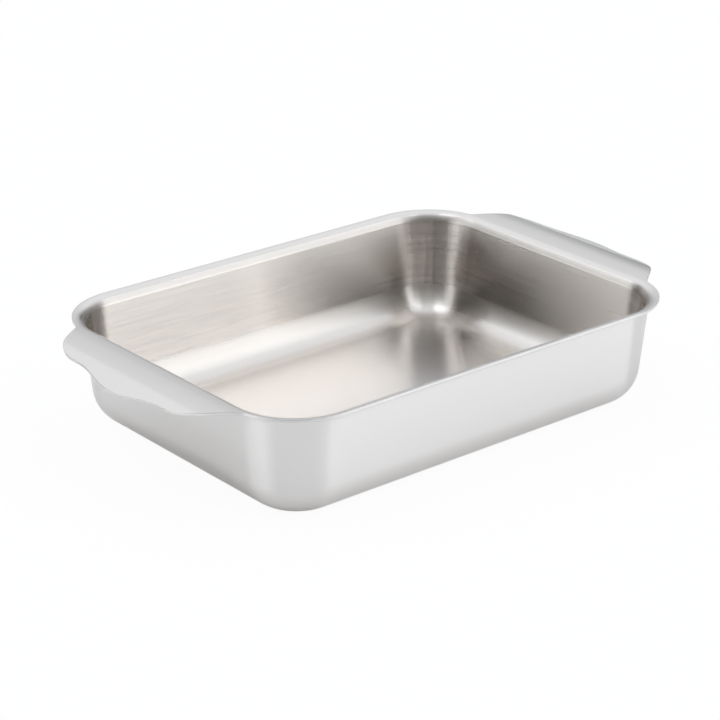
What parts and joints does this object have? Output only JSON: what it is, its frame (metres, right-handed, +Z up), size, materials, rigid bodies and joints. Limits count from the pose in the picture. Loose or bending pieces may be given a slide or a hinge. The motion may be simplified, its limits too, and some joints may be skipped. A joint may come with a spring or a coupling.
{
  "type": "baking pan",
  "caption": "Deep rectangular oven pan of clad steel sheet with rounded corners, a flared rim and a broad hand grip running out of the rim at each end; holds food for baking or roasting.",
  "frame": {"origin": "middle of the base, on the surface that the pan stands on", "axes": "+X along the length through the two grips, +Y across the width, +Z up"},
  "size_m": [0.4226, 0.26, 0.0765],
  "materials": {
    "lining_steel": "fine brushed stainless steel, semi-gloss",
    "core_aluminium": "plain rolled, ground along the cut edge",
    "shell_steel": "satin stainless steel"
  },
  "bodies": {
    "root": {"lining": "lining_steel", "heat_core": "core_aluminium", "shell": "shell_steel"}
  },
  "joints": []
}
